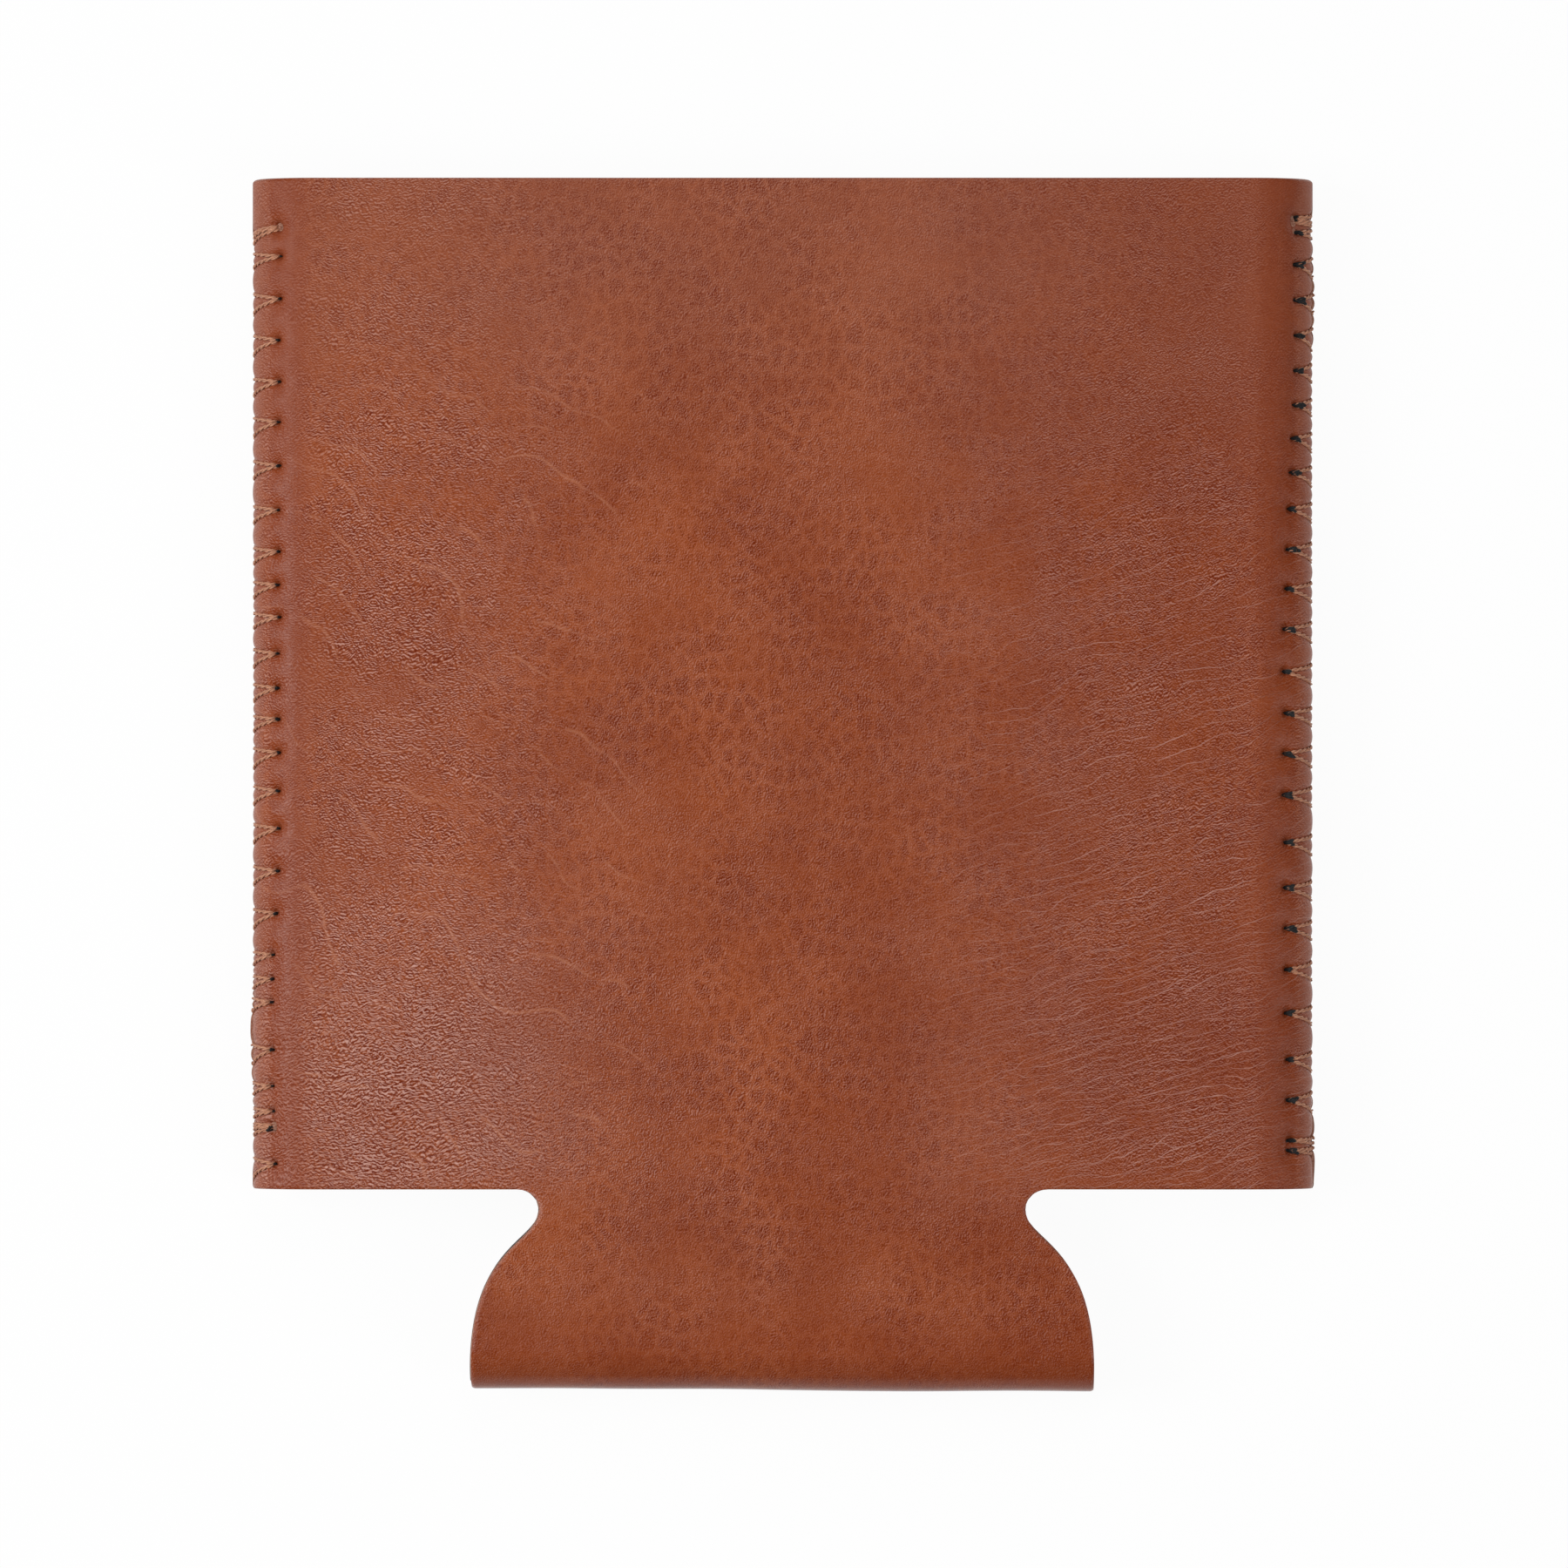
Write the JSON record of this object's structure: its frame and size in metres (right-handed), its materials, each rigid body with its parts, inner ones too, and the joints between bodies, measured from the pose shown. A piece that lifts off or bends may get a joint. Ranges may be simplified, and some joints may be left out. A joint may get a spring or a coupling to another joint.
{
  "type": "can cooler",
  "caption": "Flat-folding can cooler: a leather-faced foam sheet folded at its base tab and zigzag sewn up the sides, opening at the top into an oval pocket.",
  "frame": {"origin": "middle of the bounding box, on the surface that the cooler lies on", "axes": "+X across the cooler to the right seen from the front, +Y towards the mouth, +Z out of the front face"},
  "size_m": [0.1064, 0.12, 0.0083],
  "materials": {
    "leather": "mottled satin grain",
    "foam": "matt knit-faced foam",
    "needle_thread": "twisted ply",
    "bobbin_thread": "twisted ply"
  },
  "bodies": {
    "front_centre": {"front_leather_centre": "leather", "front_foam_centre": "foam"},
    "front_left_inner": {"front_leather_left_inner": "leather", "front_foam_left_inner": "foam"},
    "front_left_outer": {"front_leather_left_outer": "leather", "front_foam_left_outer": "foam"},
    "front_right_inner": {"front_leather_right_inner": "leather", "front_foam_right_inner": "foam"},
    "front_right_outer": {"front_leather_right_outer": "leather", "front_foam_right_outer": "foam"},
    "front_tab": {"front_leather_tab": "leather", "front_foam_tab": "foam"},
    "back_centre": {"back_leather_centre": "leather", "back_foam_centre": "foam"},
    "back_left_inner": {"back_leather_left_inner": "leather", "back_foam_left_inner": "foam"},
    "back_left_outer": {"back_leather_left_outer": "leather", "back_foam_left_outer": "foam", "left_needle_thread": "needle_thread", "left_bobbin_thread": "bobbin_thread"},
    "back_right_inner": {"back_leather_right_inner": "leather", "back_foam_right_inner": "foam"},
    "back_right_outer": {"back_leather_right_outer": "leather", "back_foam_right_outer": "foam", "right_needle_thread": "needle_thread", "right_bobbin_thread": "bobbin_thread"},
    "back_tab": {"back_leather_tab": "leather", "back_foam_tab": "foam"}
  },
  "joints": [
    {"name": "back_tab_turn", "type": "hinge", "parent": "back_centre", "child": "back_tab", "pos_m": [0, -0.0419, 0.00415], "axis": [-1, 0, 0], "range_deg": [0, 75]},
    {"name": "fold_spread", "type": "hinge", "parent": "back_tab", "child": "front_tab", "pos_m": [0, -0.06, 0.00415], "axis": [1, 0, 0], "range_deg": [0, 150]},
    {"name": "front_tab_turn", "type": "hinge", "parent": "front_tab", "child": "front_centre", "pos_m": [0, -0.0419, 0.00415], "axis": [-1, 0, 0], "range_deg": [0, 75]},
    {"name": "back_left_inner_bend", "type": "hinge", "parent": "back_centre", "child": "back_left_inner", "pos_m": [-0.03187, 0.01, 0.00415], "axis": [0, 1, 0], "range_deg": [0, 43.5]},
    {"name": "back_left_outer_bend", "type": "hinge", "parent": "back_left_inner", "child": "back_left_outer", "pos_m": [-0.04192, 0.01, 0.00415], "axis": [0, 1, 0], "range_deg": [0, 43.5], "deforming": ["left_needle_thread", "left_bobbin_thread"]},
    {"name": "back_right_inner_bend", "type": "hinge", "parent": "back_centre", "child": "back_right_inner", "pos_m": [0.03187, 0.01, 0.00415], "axis": [0, -1, 0], "range_deg": [0, 43.5]},
    {"name": "back_right_outer_bend", "type": "hinge", "parent": "back_right_inner", "child": "back_right_outer", "pos_m": [0.04192, 0.01, 0.00415], "axis": [0, -1, 0], "range_deg": [0, 43.5], "deforming": ["right_needle_thread", "right_bobbin_thread"]},
    {"name": "front_left_inner_bend", "type": "hinge", "parent": "front_centre", "child": "front_left_inner", "pos_m": [-0.03187, 0.01, 0.00415], "axis": [0, -1, 0], "range_deg": [0, 43.5]},
    {"name": "front_left_outer_bend", "type": "hinge", "parent": "front_left_inner", "child": "front_left_outer", "pos_m": [-0.04192, 0.01, 0.00415], "axis": [0, -1, 0], "range_deg": [0, 43.5]},
    {"name": "front_right_inner_bend", "type": "hinge", "parent": "front_centre", "child": "front_right_inner", "pos_m": [0.03187, 0.01, 0.00415], "axis": [0, 1, 0], "range_deg": [0, 43.5]},
    {"name": "front_right_outer_bend", "type": "hinge", "parent": "front_right_inner", "child": "front_right_outer", "pos_m": [0.04192, 0.01, 0.00415], "axis": [0, 1, 0], "range_deg": [0, 43.5]}
  ],
  "couplings": [
    {"joint": "fold_spread", "follows": "back_tab_turn", "ratio": 2},
    {"joint": "front_tab_turn", "follows": "back_tab_turn", "ratio": 1},
    {"joint": "back_left_inner_bend", "follows": "back_tab_turn", "ratio": 0.58},
    {"joint": "back_left_outer_bend", "follows": "back_tab_turn", "ratio": 0.58},
    {"joint": "back_right_inner_bend", "follows": "back_tab_turn", "ratio": 0.58},
    {"joint": "back_right_outer_bend", "follows": "back_tab_turn", "ratio": 0.58},
    {"joint": "front_left_inner_bend", "follows": "back_tab_turn", "ratio": 0.58},
    {"joint": "front_left_outer_bend", "follows": "back_tab_turn", "ratio": 0.58},
    {"joint": "front_right_inner_bend", "follows": "back_tab_turn", "ratio": 0.58},
    {"joint": "front_right_outer_bend", "follows": "back_tab_turn", "ratio": 0.58}
  ]
}
